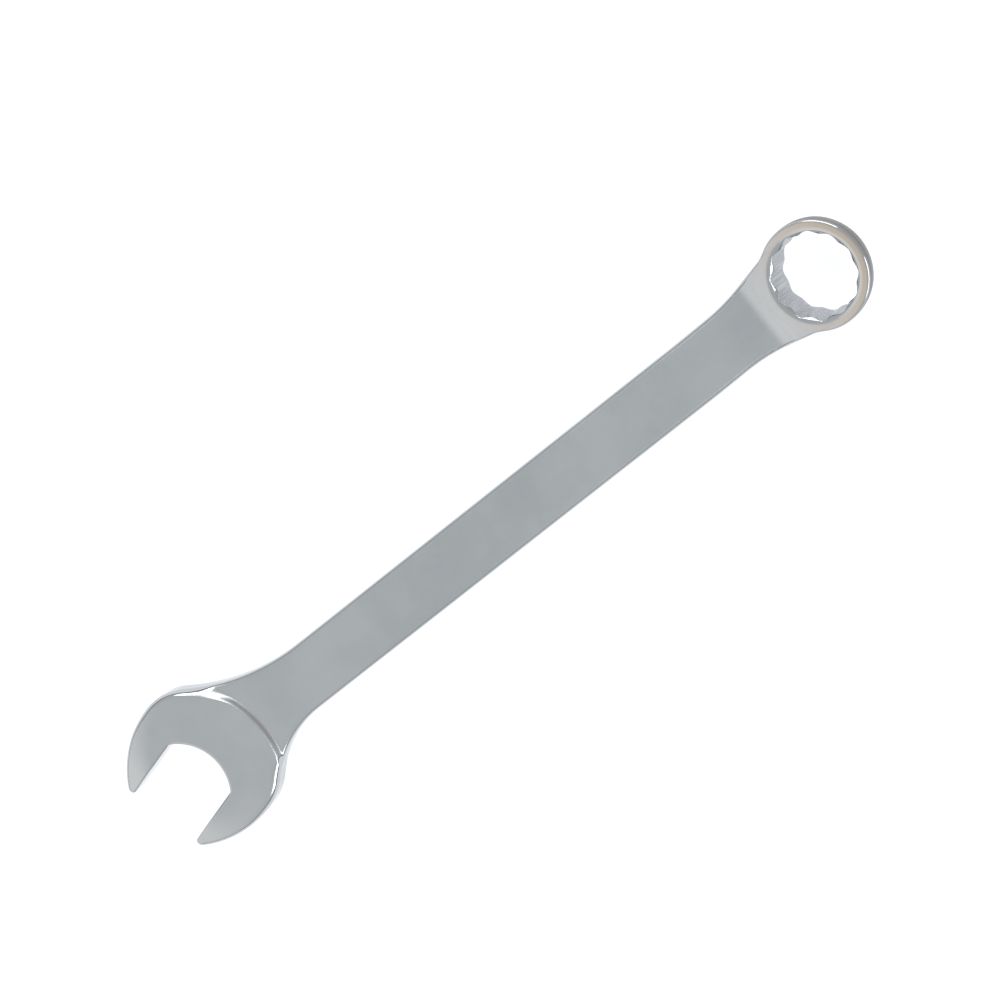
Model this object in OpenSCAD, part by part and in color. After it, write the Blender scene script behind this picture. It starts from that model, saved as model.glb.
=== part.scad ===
// Combination wrench, 24 mm: an open jaw at one end and a twelve-point ring at the
// other, both for the same nut. The real tool is one drop forging, so the three
// nodes are the named regions of that forging and meet face to face.
// +X runs from the jaw to the ring, +Z is the side that the ring is cranked to.

/* [Nut size] */
// Width across flats of the nut, at both ends
af = 24; // [23.5:0.1:24.3]

/* [Open end] */
// Angle of the jaw opening to the shank, degrees
jaw_angle = 15; // [12:0.5:16]
// Half of the head's width, across the opening
head_half = 24.4; // [24:0.1:25]
// Radius of each horn's outer side
horn_r = 36; // [35:0.1:37]
// Radius of each shoulder, behind the horns
shoulder_r = 17.6; // [17:0.1:18]
// Radius of the horn tips, seen from above
tip_r = 1.6; // [1.2:0.1:2]
// Radius of the throat between the flats
throat_r = 16; // [15:0.5:18]
// Distance from the head's centre to the bottom of the throat
throat_x = 1.4; // [1:0.1:3]
// Thickness of the head
head_t = 10.7; // [10.2:0.1:11.5]
// Radius of the step between the head and the shank
step_r = 34.6; // [34.3:0.1:35.2]

/* [Shank] */
// Distance along the shank from the head's centre to the ring's centre
centres = 240.7; // [215:0.1:260]
// Width of the shank
shank_w = 19.6; // [19:0.1:20]
// Thickness of the shank
shank_t = 7.8; // [7.2:0.1:8.4]
// Rounding along the shank's four edges
shank_edge = 1.7; // [1.2:0.1:2]
// Radius of the flare into the head on the +Y side
flare_r1 = 71.3; // [70:0.1:73]
// Radius of the flare into the head on the -Y side
flare_r2 = 34.5; // [33.5:0.1:36]
// Radius of the flare into the ring, both sides
neck_r = 62; // [60:1:70]

/* [Box end] */
// Crank angle of the ring, degrees
crank = 15; // [14:0.5:15.5]
// Outside diameter of the ring
ring_od = 34.2; // [34:0.1:35]
// Height of the ring along its own axis
ring_h = 12.2; // [12:0.1:12.6]
// Distance of the ring's centre from the shank's mid-line, towards +Y
ring_off = 0.5; // [0:0.1:0.7]
// Draft of the ring's tip below its fullest outline, from the ring's own axis
tip_draft = 20; // [16:1:21]
// Depth of the lead-in chamfer at the ring's upper mouth
lead_in = 0.8; // [0.5:0.1:1]

/* [Hidden] */

hw = shank_w / 2;
ht = shank_t / 2;

// HEAD. Its own frame has U out of the opening and V across it, and the head's
// centre is the origin of the shank's frame, on the shank's axis.
function hx(u, v) = [-u * cos(jaw_angle) - v * sin(jaw_angle),
                     -u * sin(jaw_angle) + v * cos(jaw_angle)];
function arc(c, r, a0, a1, n) = [for (i = [0:n]) let (a = a0 + (a1 - a0) * i / n)
                                 [c[0] + r * cos(a), c[1] + r * sin(a)]];
function harc(c, r, a0, a1, n) = [for (p = arc(c, r, a0, a1, n)) hx(p[0], p[1])];

flat_y = af / 2;
u0 = 3;                          // U of the head's widest place
horn_c = horn_r - head_half;     // the horn circles' centres lie across the mid-line
sh_c = head_half - shoulder_r;   // V of the shoulder circles' centres
// horn tip circle, inside the horn circle and cut just off its side by the flat
tip_v = flat_y + tip_r - 0.15;
tip_u = u0 + sqrt(pow(horn_r - tip_r, 2) - pow(horn_c + tip_v, 2));
tip_a = atan2(tip_v + horn_c, tip_u - u0);

// shoulder centres in the shank's frame, and the flares that touch them from
// outside and run out into the shank's edges
s1 = hx(u0, sh_c);
s2 = hx(u0, -sh_c);
f1y = hw + flare_r1;
f2y = -(hw + flare_r2);
f1x = s1[0] + sqrt(pow(flare_r1 + shoulder_r, 2) - pow(f1y - s1[1], 2));
f2x = s2[0] + sqrt(pow(flare_r2 + shoulder_r, 2) - pow(f2y - s2[1], 2));
t1 = atan2(f1y - s1[1], f1x - s1[0]);
t2 = atan2(f2y - s2[1], f2x - s2[0]);
w1 = 90 + jaw_angle;
w2 = -90 + jaw_angle;
touch1 = s1[0] + shoulder_r * cos(t1);
touch2 = s2[0] + shoulder_r * cos(t2);

// SHANK. Its +Y and -Y edges as functions of X, with the flare into the ring
nx0 = centres - 35.4;
function neck_flare(x) = x < nx0 ? 0
    : neck_r - sqrt(pow(neck_r, 2) - pow(min(x, nx0 + 22) - nx0, 2));
// the neck leads over to the ring's centre
function lead_over(x) = let (t = min(1, max(0, (x - nx0 + 15) / 35))) ring_off * t * t * (3 - 2 * t);
function edge1(x) = x < f1x ? f1y - sqrt(pow(flare_r1, 2) - pow(x - f1x, 2)) : hw + neck_flare(x) + lead_over(x);
function edge2(x) = x < f2x ? f2y + sqrt(pow(flare_r2, 2) - pow(x - f2x, 2)) : -hw - neck_flare(x) + lead_over(x);

// RING. Middle of its height, and the heights of the planes of its two faces
ring_c = [centres, ring_off, 4.3];
face_z = ring_h / 2;
function up_plane(x) = ring_c[2] + face_z / cos(crank) + (x - centres) * tan(crank);
function low_plane(x) = ring_c[2] - face_z / cos(crank) + (x - centres) * tan(crank);

// the neck rises to just under the ring's upper face
bend_x = centres - 22.7;
function soft(d, w) = d < -w ? 0 : d > w ? d : pow(d + w, 2) / (4 * w);
function top_z(x) = x < bend_x - 1 ? ht : min(ht + 0.34 * soft(x - bend_x, 2), up_plane(x) - 0.35);
function bot_z(x) = max(-ht - 0.075 * soft(x - bend_x + 8, 4), low_plane(x) + 0.4);

// one cross-section of the shank, a rounded rectangle in the YZ plane
cn = 5;
function corner(x, y, z, a0) = [for (i = [0:cn]) let (t = a0 + 90 * i / cn)
                                [x, y + shank_edge * cos(t), z + shank_edge * sin(t)]];
function section(x) = let (r = shank_edge, a = edge2(x) + r, b = edge1(x) - r,
                           z0 = bot_z(x) + r, z1 = top_z(x) - r)
    concat(corner(x, b, z1, 0), corner(x, a, z1, 90), corner(x, a, z0, 180), corner(x, b, z0, 270));
xs = concat([for (i = [0:19]) 7 + i * 2],
            [for (i = [1:7]) 45 + i * (nx0 - 45) / 8],
            [for (i = [0:16]) nx0 + i * 28.2 / 16]);
module loft() {
    k = 4 * (cn + 1);
    n = len(xs);
    polyhedron(points = [for (x = xs) each section(x)], convexity = 4, faces = concat(
        [[for (j = [0:k - 1]) j]],
        [[for (j = [k - 1:-1:0]) (n - 1) * k + j]],
        [for (i = [0:n - 2]) for (j = [0:k - 1])
            [i * k + j, (i + 1) * k + j, (i + 1) * k + (j + 1) % k, i * k + (j + 1) % k]]));
}

// head outline: horns, shoulders and the start of both flares, past the step
function head_outline() = concat(
    [hx(tip_u - 6, 0)],
    harc([tip_u, tip_v], tip_r, -118, tip_a, 9),
    [for (i = [1:16]) let (a = tip_a + (90 - tip_a) * i / 16) hx(u0 + horn_r * cos(a), -horn_c + horn_r * sin(a))],
    [for (i = [1:14]) let (a = w1 + (t1 - w1) * i / 14) s1 + shoulder_r * [cos(a), sin(a)]],
    [for (i = [1:10]) let (x = touch1 + i * 2) [x, edge1(x)]],
    [for (i = [12:-1:1]) let (x = touch2 + i * 1.5) [x, edge2(x)]],
    [for (i = [14:-1:1]) let (a = w2 + (t2 - w2) * i / 14) s2 + shoulder_r * [cos(a), sin(a)]],
    [for (i = [16:-1:1]) let (a = tip_a + (90 - tip_a) * i / 16) hx(u0 + horn_r * cos(a), horn_c - horn_r * sin(a))],
    harc([tip_u, -tip_v], tip_r, -tip_a, 118, 9));

module in_head_frame() { rotate([0, 0, 180 + jaw_angle]) children(); }
// the jaw's opening: two parallel flats and a round throat
module opening() {
    in_head_frame() linear_extrude(height = 40, center = true) intersection() {
        translate([-5, -flat_y]) square([60, af]);
        union() {
            translate([throat_x + throat_r, 0]) circle(r = throat_r, $fn = 96);
            translate([throat_x + throat_r, -20]) square([60, 40]);
        }
    }
}
// the cylinder whose wall is the step between the head and the shank
module step_cylinder() {
    in_head_frame() translate([17.3, 0, -20]) cylinder(h = 40, r = step_r, $fn = 180);
}
// the head's two faces fall away towards the outer sides of the horns
module head_lens() {
    in_head_frame() translate([-1, 0, 0]) for (m = [0, 1]) mirror([0, 0, m]) {
        translate([0, 0, -1]) cylinder(h = head_t / 2 - 0.9, r = 60, $fn = 96);
        translate([0, 0, head_t / 2 - 2]) cylinder(h = 2, r1 = 30.4, r2 = 23.2, $fn = 96);
    }
}

// ring: half of its cross-section, from the radius inner outwards
br = ring_od / 2;
wall = concat(arc([br - 2.6, -face_z + 2], 2, -75, -15, 4),
              [[br - 0.35, -face_z + 3.1], [br - 0.1, -face_z + 5.2], [br, -face_z + 7.3],
               [br, face_z - 3.3], [br - 0.1, face_z - 1.6]],
              arc([br - 1.2, face_z - 1.1], 1.1, 10, 90, 4));
module ring_place() { translate(ring_c) rotate([0, -crank, 0]) children(); }
// below full_z the tip's side leans in, and this cylinder cuts it
full_z = 1.7;
cut_r = br + 0.05;
module ring_body() {
    ring_place() intersection() {
        rotate_extrude($fn = 120)
            polygon(concat([[0, -face_z], [br - 2.6, -face_z]], wall, [[0, face_z]]));
        translate([br - cut_r / cos(tip_draft), 0, full_z]) rotate([0, tip_draft, 0])
            cylinder(h = 80, r = cut_r, center = true, $fn = 120);
    }
}
// twelve points: two hexagons 30 degrees apart, with corners and teeth eased
corner_r = 1.11 * af / 2;
tooth_r = 1.055 * af / 2;
mouth_r = corner_r - 0.35;
module socket() {
    ring_place() {
        intersection() {
            for (a = [0, 30]) rotate([0, 0, a]) cylinder(h = 40, r = af / 2 / cos(30), center = true, $fn = 6);
            cylinder(h = 41, r = corner_r, center = true, $fn = 120);
        }
        cylinder(h = 42, r = tooth_r, center = true, $fn = 120);
        for (m = [0, 1]) let (d = lead_in / (1 + m)) mirror([0, 0, m]) translate([0, 0, face_z - d])
            cylinder(h = d + 1, r1 = mouth_r, r2 = mouth_r + 1.15 * (d + 1), $fn = 120);
    }
}

// the wrench's box in the shank's frame, to put the origin at its bottom centre
outline = head_outline();
box_x0 = min([for (p = outline) p[0]]);
box_x1 = centres + br * cos(crank) - full_z * sin(crank);
box_y0 = min([for (p = outline) p[1]]);
box_y1 = max([for (p = outline) p[1]]);
module home() { translate([-(box_x0 + box_x1) / 2, -(box_y0 + box_y1) / 2, head_t / 2]) children(); }

module open_end() {
    color([0.72, 0.73, 0.74]) home() difference() {
        intersection() {
            translate([0, 0, -head_t / 2]) linear_extrude(height = head_t) polygon(outline);
            step_cylinder();
            head_lens();
        }
        opening();
    }
}
module shank() {
    color([0.65, 0.68, 0.69]) home() difference() {
        loft();
        step_cylinder();
        ring_body();
    }
}
module box_end() {
    color([0.76, 0.74, 0.72]) home() difference() {
        ring_body();
        socket();
    }
}

open_end();
shank();
box_end();
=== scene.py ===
import math

import bmesh
import bpy
import numpy as np
from mathutils import Matrix, Vector


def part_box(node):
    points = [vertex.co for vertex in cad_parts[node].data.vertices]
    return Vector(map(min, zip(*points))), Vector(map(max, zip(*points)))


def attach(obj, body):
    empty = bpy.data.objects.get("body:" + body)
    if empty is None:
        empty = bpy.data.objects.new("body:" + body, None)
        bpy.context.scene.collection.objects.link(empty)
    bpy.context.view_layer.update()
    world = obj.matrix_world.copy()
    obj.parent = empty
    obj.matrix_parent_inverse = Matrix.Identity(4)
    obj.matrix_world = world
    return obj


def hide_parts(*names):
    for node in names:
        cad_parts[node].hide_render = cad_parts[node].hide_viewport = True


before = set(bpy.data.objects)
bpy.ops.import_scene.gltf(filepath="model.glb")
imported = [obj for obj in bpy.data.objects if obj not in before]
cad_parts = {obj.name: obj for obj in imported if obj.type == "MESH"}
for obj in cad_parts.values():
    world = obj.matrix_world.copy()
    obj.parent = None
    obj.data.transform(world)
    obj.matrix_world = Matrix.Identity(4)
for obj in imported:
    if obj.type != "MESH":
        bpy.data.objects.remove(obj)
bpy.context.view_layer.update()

# ---------------------------------------------------------------- dimensions, mm
# The same numbers as the CAD source. The head's centre is the origin here, the
# shank runs along +X and Z = 0 is the middle of the shank's thickness.
J = math.radians(15.0)
CJ, SJ = math.cos(J), math.sin(J)
FLAT = 12.0
HEAD_H = 24.4
HORN_R = 36.0
SH_R = 17.6
THROAT_R, THROAT_X = 16.0, 1.4
HT_HEAD = 5.35
STEP_R, STEP_U = 34.6, 17.3
CENTRES = 240.7
HW = 9.8
HT = 3.9
F1R, F2R = 71.3, 34.5
NECK_R = 62.0
CR = math.radians(15.0)
CC, SC = math.cos(CR), math.sin(CR)
RING_R = 17.1
FACE_Z = 6.1
RING_Z = 4.3
RING_Y = 0.5
FULL_Z = 1.7
DRAFT = math.radians(20.0)
CUT_R = RING_R + 0.05

U0 = 3.0
HORN_C = HORN_R - HEAD_H
SH_C = HEAD_H - SH_R
TIP_R = 1.6
TIP_V = FLAT + TIP_R
TIP_U = U0 + math.sqrt((HORN_R - TIP_R) ** 2 - (HORN_C + TIP_V) ** 2)
TIP_A = math.atan2(TIP_V + HORN_C, TIP_U - U0)
CTIP, STIP = math.cos(TIP_A), math.sin(TIP_A)


def hx(u, v):
    return (-u * CJ - v * SJ, -u * SJ + v * CJ)


S1 = hx(U0, SH_C)
S2 = hx(U0, -SH_C)
F1Y = HW + F1R
F2Y = -(HW + F2R)
F1X = S1[0] + math.sqrt((F1R + SH_R) ** 2 - (F1Y - S1[1]) ** 2)
F2X = S2[0] + math.sqrt((F2R + SH_R) ** 2 - (F2Y - S2[1]) ** 2)
NX0 = CENTRES - 35.4
BEND_X = CENTRES - 21.9
NECK_HALF = HW + NECK_R - math.sqrt(NECK_R ** 2 - 22.0 ** 2)


# ---------------------------------------------------------------- implicit shape
def rmax(a, b, r):
    """Intersection with a round edge of radius r."""
    return np.minimum(np.maximum(a, b), -r) + np.sqrt(
        np.maximum(a + r, 0) ** 2 + np.maximum(b + r, 0) ** 2)


def rmin(a, b, r):
    """Union with a round hollow corner of radius r."""
    return -rmax(-a, -b, r)


def sstep(a, b, x):
    t = np.clip((x - a) / (b - a), 0, 1)
    return t * t * (3 - 2 * t)


def soft(d, w):
    """0 before -w, d after w, and a parabola between."""
    return np.where(d < -w, 0, np.where(d > w, d, (d + w) ** 2 / (4 * w)))


def smin(a, b, k):
    return b - soft(b - a, k)


def side(x, y):
    """Distance to the outline seen from above, without the ring and the opening."""
    u = -x * CJ - y * SJ
    v = -x * SJ + y * CJ
    out = []
    for s, (sx, sy), fx, fy, fr in ((1, S1, F1X, F1Y, F1R), (-1, S2, F2X, F2Y, F2R)):
        horn = np.hypot(u - U0, v + s * HORN_C) - HORN_R
        shoulder = np.hypot(x - sx, y - sy) - SH_R
        flare = fr - np.hypot(x - fx, y - fy)
        t = np.clip((x - NX0 + 15) / 35, 0, 1)
        yn = y - RING_Y * t * t * (3 - 2 * t)
        line = s * yn - HW
        neck = NECK_R - np.hypot(x - NX0, s * yn - (HW + NECK_R))
        neck = rmax(neck, s * yn - NECK_HALF, 2.5)
        past = ((x - sx) * (fy - sy) - (y - sy) * (fx - sx)) * s > 0
        out.append(np.where(u > U0, horn, np.where(
            ~past, shoulder, np.where(x < fx, flare, np.where(x < NX0, line, neck)))))
    return np.maximum(out[0], out[1])


def opening(x, y):
    """Distance to the jaw's opening seen from above, negative inside it."""
    u = -x * CJ - y * SJ
    v = -x * SJ + y * CJ
    flats = np.abs(v) - FLAT
    throat = np.where(u < THROAT_X + THROAT_R, np.hypot(u - THROAT_X - THROAT_R, v) - THROAT_R, -THROAT_R)
    return rmax(flats, throat, 0.35)


def plan_shape(d2, op, x, y):
    """Outline and opening together, with the horns' round tips."""
    u = -x * CJ - y * SJ
    v = np.abs(-x * SJ + y * CJ)
    a, b = u - TIP_U, v - TIP_V
    sector = (a > b * CTIP / STIP) & (a > 0)
    return np.where(sector, np.hypot(a, b) - TIP_R, np.maximum(d2, -op))


def step_d(x, y):
    u = -x * CJ - y * SJ
    v = -x * SJ + y * CJ
    return np.hypot(u - STEP_U, v) - STEP_R


def heights(x, y, d2):
    """Z of the upper and lower faces of the head, the shank and the neck."""
    u = -x * CJ - y * SJ
    v = -x * SJ + y * CJ
    ds = step_d(x, y)
    fall = 0.29 * soft(np.hypot(u + 1.0, v) - 24.0, 3.6)
    head = HT_HEAD - fall
    open_out = sstep(-7.0, -1.2, d2) * (0.15 + 0.85 * sstep(-4.0, 6.0, v))
    wide = 0.95 + 1.5 * open_out
    mid = 0.9 * open_out
    k = 1 - sstep(-wide, wide, ds + mid)
    crown = 0.10 * (np.clip(y / HW, -1, 1)) ** 2 * (1 - k)
    shank = HT - crown
    up_plane = RING_Z + FACE_Z / CC + (x - CENTRES) * SC / CC
    low_plane = RING_Z - FACE_Z / CC + (x - CENTRES) * SC / CC
    far = x > BEND_X - 2.0
    top = np.where(far, smin(shank + 0.39 * soft(x - BEND_X, 1.8), up_plane - 0.04, 0.25), shank)
    bot = -smin(HT - crown + 0.075 * soft(x - BEND_X + 8, 4), -low_plane - 0.4, 0.3)
    top = top + (head - top) * k
    bot = bot + (-head - bot) * k
    return top, bot, k


def body(x, y, z):
    """Head, shank and neck, with the jaw's opening cut out."""
    d2 = side(x, y)
    op = opening(x, y)
    e = 0.01
    top, bot, k = heights(x, y, d2)
    tx, bx, _ = heights(x + e, y, side(x + e, y))
    ty, by, _ = heights(x, y + e, side(x, y + e))
    nt = np.sqrt(1 + ((tx - top) / e) ** 2 + ((ty - top) / e) ** 2)
    nb = np.sqrt(1 + ((bx - bot) / e) ** 2 + ((by - bot) / e) ** 2)
    plan = plan_shape(d2, op, x, y) + 0.015
    cut = sstep(2.2, -2.2, d2 + op)
    u = -x * CJ - y * SJ
    r = 1.55 + (0.7 - 0.95 * sstep(2.0, 14.0, u)) * k
    r = r + (0.85 - r) * cut
    return np.maximum(rmax(rmax(plan, (z - top) / nt, r), (bot - z) / nb, r), x - 236.0)


def ring_frame(x, y, z):
    dx, dz = x - CENTRES, z - RING_Z
    a = dx * CC + dz * SC
    c = -dx * SC + dz * CC
    return a, y - RING_Y + 0 * a, c


def ring_parts(x, y, z):
    a, b, c = ring_frame(x, y, z)
    rho = np.hypot(a, b)
    dc = c - 2.0
    rw = np.where(dc > 0, RING_R - 0.012 * dc ** 2, RING_R - 0.018 * dc ** 2)
    sl = np.where(dc > 0, 0.024, 0.036) * dc
    wall = (rho - rw) / np.sqrt(1 + sl ** 2)
    # below FULL_Z the tip's side leans in
    sd, cd = math.sin(DRAFT), math.cos(DRAFT)
    ca = a - (RING_R - CUT_R / cd)
    lean = np.hypot(ca * cd - (c - FULL_Z - 1.2) * sd, b) - CUT_R
    wall = rmax(wall, lean, 1.2)
    crown = 0.055 * soft(rho - 13.2, 0.5) + 0.035 * soft(rho - 14.8, 1.2) - 0.09 * soft(rho - 18.5, 1.5)
    up = c - (FACE_Z - crown)
    low = -c - (FACE_Z - crown)
    outer = rmax(rmax(wall, up, 1.05), low, 2.8)
    # twelve points: two hexagons a twelfth of a turn apart
    hexes = []
    for off in (0, 30):
        m = None
        for i in range(3):
            t = math.radians(off + 60 * i + 30)
            q = np.abs(a * math.cos(t) + b * math.sin(t))
            m = q if m is None else np.maximum(m, q)
        hexes.append(m - FLAT)
    star = rmin(hexes[0], hexes[1], 0.1)
    star = rmax(star, rho - 13.42, 0.35)
    star = rmin(star, rho - 12.48, 0.2)
    cones = None
    for s, depth in ((1, 0.76), (-1, 0.4)):
        q = (rho - 13.0 - 1.15 * (s * c - (FACE_Z - depth))) / math.sqrt(1 + 1.15 ** 2)
        cones = q if cones is None else np.minimum(cones, q)
    hole = rmin(star, cones, 0.26)
    return outer, hole, up, star, cones, rho


def solid(x, y, z):
    """Signed distance, in mm, to the whole forging, negative inside."""
    d = body(x, y, z)
    near = (x + 0 * y + 0 * z) > 205
    if not near.any():
        return d
    outer, hole, up, _, _, _ = ring_parts(x, y, z)
    j = rmin(d, outer, 1.3)
    # the ring's face cuts the neck, and lets go of it before the bend
    lift = 0.5 * sstep(223.0, 216.0, x)
    j = np.where(x > BEND_X - 1, rmax(j, up - lift, 0.3), j)
    j = rmax(j, -hole, 0.75)
    return np.where(near, j, d)


def gradient(p, e=0.004):
    g = np.empty_like(p)
    for i in range(3):
        q = p.copy()
        q[:, i] += e
        a = solid(q[:, 0], q[:, 1], q[:, 2])
        q[:, i] -= 2 * e
        g[:, i] = (a - solid(q[:, 0], q[:, 1], q[:, 2])) / (2 * e)
    return g


# ---------------------------------------------------------------- surface
def axis(parts):
    out = [parts[0][0]]
    for a, b, h in parts:
        n = max(1, int(round((b - a) / h)))
        out += [a + (b - a) * (i + 1) / n for i in range(n)]
    return np.array(out)


FINE = 0.25
gx = axis([(-31.3, 22, FINE), (22, 30, 0.7), (30, 196, 1.3), (196, 206, 0.7), (206, 259.5, FINE)])
gy = axis([(-27.5, 25.5, FINE)])
gz = axis([(-6.3, 15.6, FINE)])


def surface_net():
    """Vertices and quads of the surface, one vertex in each cell that it crosses."""
    nx, ny, nz = len(gx), len(gy), len(gz)
    f = np.empty((nx, ny, nz), np.float32)
    for i in range(0, nx, 40):
        f[i:i + 40] = solid(gx[i:i + 40, None, None], gy[None, :, None], gz[None, None, :])
    inside = f < 0
    total = np.zeros((nx - 1, ny - 1, nz - 1, 3), np.float64)
    count = np.zeros((nx - 1, ny - 1, nz - 1), np.int32)
    grids = (gx, gy, gz)
    edges = []
    for ax in range(3):
        sl0 = [slice(None)] * 3
        sl1 = [slice(None)] * 3
        sl0[ax], sl1[ax] = slice(None, -1), slice(1, None)
        cross = inside[tuple(sl0)] != inside[tuple(sl1)]
        idx = np.argwhere(cross)
        a = f[tuple(sl0)][cross].astype(np.float64)
        b = f[tuple(sl1)][cross].astype(np.float64)
        t = a / (a - b)
        pos = np.stack([grids[i][idx[:, i]] for i in range(3)], 1).astype(np.float64)
        g = grids[ax]
        pos[:, ax] += t * (g[idx[:, ax] + 1] - g[idx[:, ax]])
        o1, o2 = [(1, 2), (2, 0), (0, 1)][ax]
        cells = []
        for d1, d2 in ((-1, -1), (0, -1), (0, 0), (-1, 0)):
            c = idx.copy()
            c[:, o1] += d1
            c[:, o2] += d2
            np.add.at(total, (c[:, 0], c[:, 1], c[:, 2]), pos)
            np.add.at(count, (c[:, 0], c[:, 1], c[:, 2]), 1)
            cells.append(c)
        flip = inside[tuple(sl0)][cross]
        edges.append((cells, flip))
    used = count > 0
    number = -np.ones(count.shape, np.int64)
    number[used] = np.arange(used.sum())
    verts = total[used] / count[used][:, None]
    quads = []
    for cells, flip in edges:
        q = np.stack([number[c[:, 0], c[:, 1], c[:, 2]] for c in cells], 1)
        q[~flip] = q[~flip][:, ::-1]
        quads.append(q)
    return verts, np.concatenate(quads)


def project(p, rounds=4):
    for _ in range(rounds):
        d = solid(p[:, 0], p[:, 1], p[:, 2])
        g = gradient(p)
        n2 = np.maximum((g ** 2).sum(1), 0.2)
        move = g * (d / n2)[:, None]
        size = np.linalg.norm(move, axis=1)
        move *= np.minimum(1, 0.25 / np.maximum(size, 1e-9))[:, None]
        p = p - move
    return p


verts, quads = surface_net()
verts = project(verts)

# relax along the surface, so that the quads are even, then back onto it
for _ in range(2):
    acc = np.zeros_like(verts)
    cnt = np.zeros(len(verts))
    for i in range(4):
        a, b = quads[:, i], quads[:, (i + 1) % 4]
        np.add.at(acc, a, verts[b])
        np.add.at(acc, b, verts[a])
        np.add.at(cnt, a, 1)
        np.add.at(cnt, b, 1)
    g = gradient(verts)
    n = g / np.maximum(np.linalg.norm(g, axis=1), 1e-9)[:, None]
    shift = (acc / cnt[:, None] - verts) * 0.5
    shift -= n * (shift * n).sum(1)[:, None]
    verts = project(verts + shift, 2)


# ---------------------------------------------------------------- three regions
def cut_head(p):
    return step_d(p[:, 0], p[:, 1])


def cut_ring(p):
    a, b, c = ring_frame(p[:, 0], p[:, 1], p[:, 2])
    return np.hypot(a, b) - (RING_R + 0.55)


mid = verts[quads].mean(1)
region = np.ones(len(quads), int)
region[(cut_head(mid) < 0) & (mid[:, 0] < 60)] = 0
region[(cut_ring(mid) < 0) & (mid[:, 0] > 200)] = 2


def seam_loop(r1, r2):
    """The ring of vertices between two regions, in order."""
    by = {}
    for r in (r1, r2):
        q = quads[region == r]
        e = np.concatenate([np.stack([q[:, i], q[:, (i + 1) % 4]], 1) for i in range(4)])
        by[r] = e
    s2 = set(map(tuple, by[r2][:, ::-1].tolist()))
    pairs = [e for e in map(tuple, by[r1].tolist()) if e in s2]
    nxt = {}
    for a, b in pairs:
        assert a not in nxt, "seam pinches"
        nxt[a] = b
    loop = [pairs[0][0]]
    while nxt[loop[-1]] != loop[0]:
        loop.append(nxt[loop[-1]])
    assert len(loop) == len(pairs), "seam isn't one loop"
    return loop


def snap(loop, fn):
    p = verts[loop].copy()
    for _ in range(12):
        d = fn(p)
        g = np.empty_like(p)
        for i in range(3):
            q = p.copy()
            q[:, i] += 1e-3
            g[:, i] = (fn(q) - d) / 1e-3
        p -= g * (d / np.maximum((g ** 2).sum(1), 1e-6))[:, None]
        p = project(p, 1)
    verts[loop] = p


loop_a = seam_loop(0, 1)
loop_b = seam_loop(1, 2)
snap(loop_a, cut_head)
snap(loop_b, cut_ring)


def cap(loop):
    """Triangles across the forging between the seam's upper and lower halves."""
    p = verts[loop]
    n = len(loop)
    i0, i1 = int(np.argmin(p[:, 1])), int(np.argmax(p[:, 1]))
    one = [loop[(i0 + k) % n] for k in range((i1 - i0) % n + 1)]
    two = [loop[(i0 - k) % n] for k in range((i0 - i1) % n + 1)]
    tris = []
    i = j = 0
    while i < len(one) - 1 or j < len(two) - 1:
        if j == len(two) - 1 or (i < len(one) - 1 and verts[one[i + 1]][1] <= verts[two[j + 1]][1]):
            if one[i + 1] != two[j] and one[i] != two[j]:
                tris.append((one[i], one[i + 1], two[j]))
            i += 1
        else:
            if two[j + 1] != one[i] and two[j] != one[i]:
                tris.append((one[i], two[j + 1], two[j]))
            j += 1
    return tris


cap_a, cap_b = cap(loop_a), cap(loop_b)
normals = gradient(verts, 0.02)
normals /= np.maximum(np.linalg.norm(normals, axis=1), 1e-9)[:, None]

# Finish and painted shade of each vertex: red is the satin of the ground faces, green
# the broached wall of the ring, blue the ring's side, rougher and darkened by painted shade.
vx, vy, vz = verts.T
d2 = side(vx, vy)
top, bot, kk = heights(vx, vy, d2)
dz = np.minimum(np.abs(vz - top), np.abs(vz - bot))
sat = 1 - sstep(0.02, 0.30, dz)
outer, hole, up, star, cones, rho = ring_parts(vx, vy, vz)
on_ring = vx > 205
ring_face = 1 - sstep(0.02, 0.22, np.abs(up))
ring_face = np.where((rho < 13.5) & (np.abs(hole) < 0.05), 0, ring_face)
sat = np.where(on_ring, np.maximum(ring_face, np.where(rho > RING_R - 0.2, sat, 0)), sat)
wall = np.where(on_ring & (rho < 13.6), 1 - sstep(0.02, 0.15, np.abs(star)), 0)
# the ring's side: a rougher finish, and a mask for painted shade that darkens its colour
dull_and_painted_shade = np.where(on_ring & (rho > RING_R - 2.5), sstep(5.60, 5.30, up + FACE_Z) * sstep(RING_R + 2.6, RING_R + 0.4, rho), 0)
finish_and_shade = np.stack([sat, wall, dull_and_painted_shade, np.ones(len(verts))], 1).astype(np.float32)

# into the row frame
OFFSET = np.array([0.0, 0.0, HT_HEAD])


def cad_offset():
    """The head's centre in the row frame, from the box of the CAD ring."""
    a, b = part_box("box_end")
    oy = (a[1] + b[1]) / 2 * 1000 - RING_Y
    ox = b[0] * 1000 - CENTRES - (RING_R * CC - FULL_Z * SC)
    return ox, oy


OFFSET[0], OFFSET[1] = cad_offset()
print("offset", OFFSET)
row = (verts + OFFSET) / 1000.0


# ---------------------------------------------------------------- materials
def node(nt, kind, **inputs):
    n = nt.nodes.new(kind)
    for k, v in inputs.items():
        if k in n.inputs.keys():
            n.inputs[k].default_value = v
    return n


def math_node(nt, op, a, b=None, clamp=False):
    n = nt.nodes.new("ShaderNodeMath")
    n.operation = op
    n.use_clamp = clamp
    for i, q in enumerate((a, b)):
        if q is None:
            continue
        if isinstance(q, (int, float)):
            n.inputs[i].default_value = q
        else:
            nt.links.new(q, n.inputs[i])
    return n.outputs[0]


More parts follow.
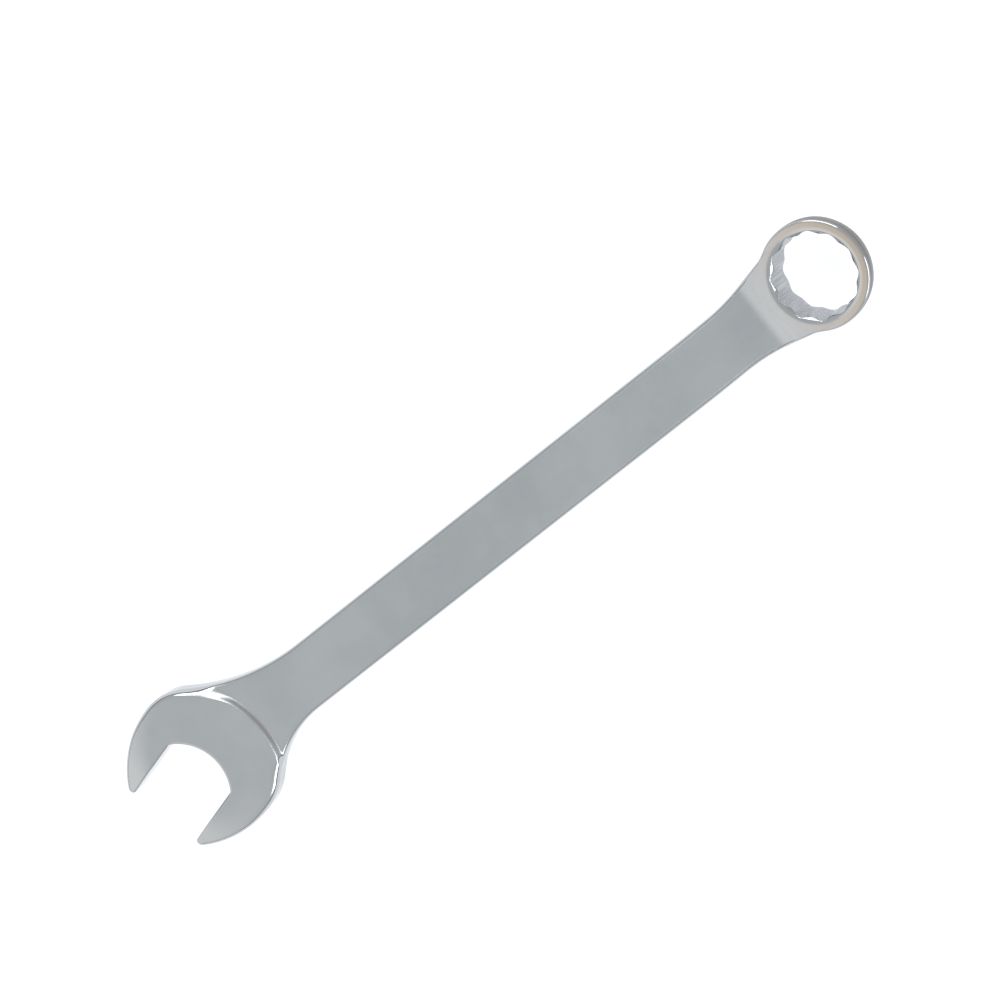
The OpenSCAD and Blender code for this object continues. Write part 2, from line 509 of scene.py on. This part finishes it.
def ramp(nt, src, a, b, lo, hi):
    n = nt.nodes.new("ShaderNodeMapRange")
    n.interpolation_type = "SMOOTHSTEP"
    nt.links.new(src, n.inputs["Value"])
    n.inputs["From Min"].default_value = a
    n.inputs["From Max"].default_value = b
    n.inputs["To Min"].default_value = lo
    n.inputs["To Max"].default_value = hi
    return n.outputs["Result"]


def chrome_plate():
    mat = bpy.data.materials.new("chrome_plate")
    mat.use_nodes = True
    nt = mat.node_tree
    bsdf = nt.nodes["Principled BSDF"]
    bsdf.inputs["Metallic"].default_value = 1.0
    co = nt.nodes.new("ShaderNodeTexCoord").outputs["Object"]
    att = nt.nodes.new("ShaderNodeAttribute")
    att.attribute_name = "finish_and_shade"
    sep = nt.nodes.new("ShaderNodeSeparateColor")
    nt.links.new(att.outputs["Color"], sep.inputs[0])
    satin, broach, dull_and_painted_shade = sep.outputs[0], sep.outputs[1], sep.outputs[2]

    def noise(scale, detail=3.0, rough=0.55, vec=None, stretch=None):
        n = nt.nodes.new("ShaderNodeTexNoise")
        n.inputs["Scale"].default_value = scale
        n.inputs["Detail"].default_value = detail
        n.inputs["Roughness"].default_value = rough
        src = vec or co
        if stretch:
            m = nt.nodes.new("ShaderNodeMapping")
            m.inputs["Scale"].default_value = stretch
            nt.links.new(src, m.inputs["Vector"])
            src = m.outputs["Vector"]
        nt.links.new(src, n.inputs["Vector"])
        return n.outputs["Fac"]

    # colour: a slightly cold metal with faint clouds in the plating
    cloud = noise(38.0, 3.0)
    small = noise(900.0, 2.0)
    mixc = nt.nodes.new("ShaderNodeMix")
    mixc.data_type = "RGBA"
    nt.links.new(ramp(nt, cloud, 0.3, 0.7, 0.0, 1.0), mixc.inputs["Factor"])
    mixc.inputs["A"].default_value = (0.455, 0.472, 0.485, 1)
    mixc.inputs["B"].default_value = (0.495, 0.508, 0.515, 1)
    # a few tiny dark specks in the satin faces
    specks = noise(1300.0, 1.0, 0.4)
    sp = math_node(nt, "MULTIPLY", ramp(nt, specks, 0.76, 0.82, 0.0, 0.35), satin)
    dark = nt.nodes.new("ShaderNodeMix")
    dark.data_type = "RGBA"
    nt.links.new(sp, dark.inputs["Factor"])
    nt.links.new(mixc.outputs["Result"], dark.inputs["A"])
    dark.inputs["B"].default_value = (0.22, 0.22, 0.22, 1)
    # fine lines left by the broach, along the ring's axis
    tilt = nt.nodes.new("ShaderNodeMapping")
    tilt.inputs["Rotation"].default_value = (0.0, CR, 0.0)
    nt.links.new(co, tilt.inputs["Vector"])
    lines = noise(1.0, 3.0, 0.6, vec=tilt.outputs["Vector"], stretch=(1900.0, 1900.0, 20.0))
    lines = math_node(nt, "MULTIPLY", ramp(nt, lines, 0.35, 0.65, 0.0, 1.0), broach)
    scored = nt.nodes.new("ShaderNodeMix")
    scored.data_type = "RGBA"
    nt.links.new(math_node(nt, "MULTIPLY", lines, 0.45), scored.inputs["Factor"])
    nt.links.new(dark.outputs["Result"], scored.inputs["A"])
    scored.inputs["B"].default_value = (0.34, 0.345, 0.375, 1)
    # a painted warm reflection on the ring's far face, and a painted shade that makes the ring's side darker
    sx = nt.nodes.new("ShaderNodeSeparateXYZ")
    nt.links.new(co, sx.inputs[0])
    painted_warm_reflection = nt.nodes.new("ShaderNodeMix")
    painted_warm_reflection.data_type = "RGBA"
    nt.links.new(math_node(nt, "MULTIPLY", ramp(nt, sx.outputs["X"], 0.109, 0.136, 0.0, 1.0), satin), painted_warm_reflection.inputs["Factor"])
    nt.links.new(scored.outputs["Result"], painted_warm_reflection.inputs["A"])
    # painted reflection: a warm tint on the satin of the ring's far face
    painted_warm_reflection.inputs["B"].default_value = (0.535, 0.445, 0.362, 1)
    painted_side_shade = nt.nodes.new("ShaderNodeMix")
    painted_side_shade.data_type = "RGBA"
    nt.links.new(dull_and_painted_shade, painted_side_shade.inputs["Factor"])
    nt.links.new(painted_warm_reflection.outputs["Result"], painted_side_shade.inputs["A"])
    # painted shade: the dark colour of the ring's side stands for a dark reflection
    painted_side_shade.inputs["B"].default_value = (0.140, 0.137, 0.134, 1)
    nt.links.new(painted_side_shade.outputs["Result"], bsdf.inputs["Base Color"])

    # roughness
    polished = math_node(nt, "ADD", ramp(nt, noise(160.0, 2.0), 0.3, 0.7, 0.05, 0.10), 0.0)
    face = math_node(nt, "ADD", ramp(nt, cloud, 0.3, 0.7, 0.29, 0.34), ramp(nt, small, 0.3, 0.7, -0.02, 0.02))
    diff = math_node(nt, "SUBTRACT", face, polished)
    rough = math_node(nt, "ADD", polished, math_node(nt, "MULTIPLY", diff, satin))
    rough = math_node(nt, "ADD", rough, math_node(nt, "MULTIPLY", broach, 0.20))
    rough = math_node(nt, "ADD", rough, math_node(nt, "MULTIPLY", dull_and_painted_shade, 0.32))
    nt.links.new(rough, bsdf.inputs["Roughness"])

    # relief: blasted grain on the faces, broaching lines in the ring
    grain = math_node(nt, "MULTIPLY", noise(2600.0, 2.0, 0.5), satin)
    wave = noise(120.0, 1.0)
    b1 = nt.nodes.new("ShaderNodeBump")
    b1.inputs["Strength"].default_value = 0.22
    b1.inputs["Distance"].default_value = 0.00004
    nt.links.new(grain, b1.inputs["Height"])
    b2 = nt.nodes.new("ShaderNodeBump")
    b2.inputs["Strength"].default_value = 0.7
    b2.inputs["Distance"].default_value = 0.0003
    nt.links.new(lines, b2.inputs["Height"])
    nt.links.new(b1.outputs["Normal"], b2.inputs["Normal"])
    b3 = nt.nodes.new("ShaderNodeBump")
    b3.inputs["Strength"].default_value = 0.10
    b3.inputs["Distance"].default_value = 0.0003
    nt.links.new(wave, b3.inputs["Height"])
    nt.links.new(b2.outputs["Normal"], b3.inputs["Normal"])
    nt.links.new(b3.outputs["Normal"], bsdf.inputs["Normal"])
    return mat


chrome = chrome_plate()


# ---------------------------------------------------------------- pieces
def piece(name, which, caps):
    q = quads[region == which]
    ids = np.unique(q)
    new = -np.ones(len(verts), np.int64)
    new[ids] = np.arange(len(ids))
    faces = new[q].tolist()
    n_skin = len(faces)
    for tris, turn in caps:
        for t in tris:
            t = t[::-1] if turn else t
            faces.append([int(new[i]) for i in t])
    me = bpy.data.meshes.new(name)
    me.from_pydata(row[ids].tolist(), [], faces)
    me.polygons.foreach_set("use_smooth", [True] * n_skin + [False] * (len(faces) - n_skin))
    col = me.attributes.new("finish_and_shade", "FLOAT_COLOR", "POINT")
    col.data.foreach_set("color", finish_and_shade[ids].ravel())
    me.materials.append(chrome)
    me.update()
    me.validate()
    me.normals_split_custom_set_from_vertices(normals[ids].tolist())
    ob = bpy.data.objects.new(name, me)
    bpy.context.scene.collection.objects.link(ob)
    return ob


for name, which, caps, cad in (
    ("jaw_forging", 0, [(cap_a, True)], "open_end"),
    ("shank_forging", 1, [(cap_a, False), (cap_b, True)], "shank"),
    ("ring_forging", 2, [(cap_b, False)], "box_end"),
):
    ob = piece(name, which, caps)
    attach(ob, "root")
    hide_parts(cad)

# ---------------------------------------------------------------- floor
fm = bpy.data.meshes.new("floor")
bm = bmesh.new()
bmesh.ops.create_grid(bm, x_segments=8, y_segments=8, size=3.0)
bm.to_mesh(fm)
bm.free()
floor = bpy.data.objects.new("floor", fm)
bpy.context.scene.collection.objects.link(floor)
fmat = bpy.data.materials.new("pale_floor")
fmat.use_nodes = True
fb = fmat.node_tree.nodes["Principled BSDF"]
fb.inputs["Base Color"].default_value = (0.27, 0.275, 0.285, 1)
fb.inputs["Roughness"].default_value = 0.9
fb.inputs["Emission Color"].default_value = (0.95, 0.97, 1.0, 1)
fb.inputs["Emission Strength"].default_value = 0.88
fm.materials.append(fmat)

# ---------------------------------------------------------------- camera
# right, up and back of the camera as columns
cam_data = bpy.data.cameras.new("camera")
cam_data.sensor_fit = "HORIZONTAL"
cam_data.sensor_width = 36.0
cam_data.lens = 122.12
cam_data.clip_end = 20
cam = bpy.data.objects.new("camera", cam_data)
right = Vector((0.75688, -0.62263, -0.19874)).normalized()
back = Vector((0.26494, 0.01431, 0.96416)).normalized()
up = back.cross(right).normalized()
right = up.cross(back).normalized()
head = Vector(OFFSET) / 1000.0
eye = head + Vector((0.39149, 0.02040, 0.98365))
m = Matrix((
    (right[0], up[0], back[0], eye[0]),
    (right[1], up[1], back[1], eye[1]),
    (right[2], up[2], back[2], eye[2]),
    (0, 0, 0, 1),
))
cam.matrix_world = m
bpy.context.scene.collection.objects.link(cam)
bpy.context.scene.camera = cam


# ---------------------------------------------------------------- lights
def softbox(name, a, b, tall, power):
    """A long soft light between two points, facing the middle of the wrench."""
    a, b = Vector(a), Vector(b)
    ld = bpy.data.lights.new(name, "AREA")
    ld.shape = "RECTANGLE"
    ld.size, ld.size_y = (a - b).length, tall
    ld.energy = power
    lo = bpy.data.objects.new(name, ld)
    at = (a + b) / 2
    x = (a - b).normalized()
    z = (at - x * at.dot(x)).normalized()
    y = z.cross(x)
    lo.matrix_world = Matrix((
        (x[0], y[0], z[0], at[0]), (x[1], y[1], z[1], at[1]), (x[2], y[2], z[2], at[2]), (0, 0, 0, 1)))
    bpy.context.scene.collection.objects.link(lo)
    return lo


softbox("softbox_left", (0.84, 0.77, 1.27), (0.12, 1.53, 0.74), 0.66, 10.0)
softbox("softbox_right", (0.95, -0.56, 1.28), (0.16, -1.51, 0.76), 0.60, 10.0)

world = bpy.data.worlds.new("studio")
bpy.context.scene.world = world
world.use_nodes = True
wt = world.node_tree
bg = wt.nodes["Background"]
gen = wt.nodes.new("ShaderNodeTexCoord").outputs["Generated"]
colour = None


def patch(direction, a, b, rgb, under):
    """A soft patch of colour around a direction, from cosine a (edge) to b (full)."""
    dot = wt.nodes.new("ShaderNodeVectorMath")
    dot.operation = "DOT_PRODUCT"
    wt.links.new(gen, dot.inputs[0])
    dot.inputs[1].default_value = Vector(direction).normalized()
    f = ramp(wt, dot.outputs["Value"], a, b, 0.0, 1.0)
    mx = wt.nodes.new("ShaderNodeMix")
    mx.data_type = "RGBA"
    wt.links.new(f, mx.inputs["Factor"])
    if isinstance(under, tuple):
        mx.inputs["A"].default_value = (*under, 1)
    else:
        wt.links.new(under, mx.inputs["A"])
    mx.inputs["B"].default_value = (*rgb, 1)
    return mx.outputs["Result"]


sky = patch((-1, 0, 0.35), 0.60, 0.93, (1.20, 1.19, 1.18), (0.705, 0.738, 0.752))
sky = patch((0.62, 0, 0.78), 0.80, 0.97, (0.64, 0.63, 0.62), sky)
sky = patch((1.0, 0, 0.10), 0.60, 0.90, (0.59, 0.59, 0.595), sky)
# darker just above the horizon
height = wt.nodes.new("ShaderNodeSeparateXYZ")
wt.links.new(gen, height.inputs[0])
low = wt.nodes.new("ShaderNodeMix")
low.data_type = "RGBA"
wt.links.new(ramp(wt, height.outputs["Z"], 0.04, 0.34, 0.0, 1.0), low.inputs["Factor"])
low.inputs["A"].default_value = (0.27, 0.265, 0.26, 1)
wt.links.new(sky, low.inputs["B"])
sky = low.outputs["Result"]
wt.links.new(sky, bg.inputs["Color"])
bg.inputs["Strength"].default_value = 1.0

bpy.context.scene.view_settings.view_transform = "Standard"
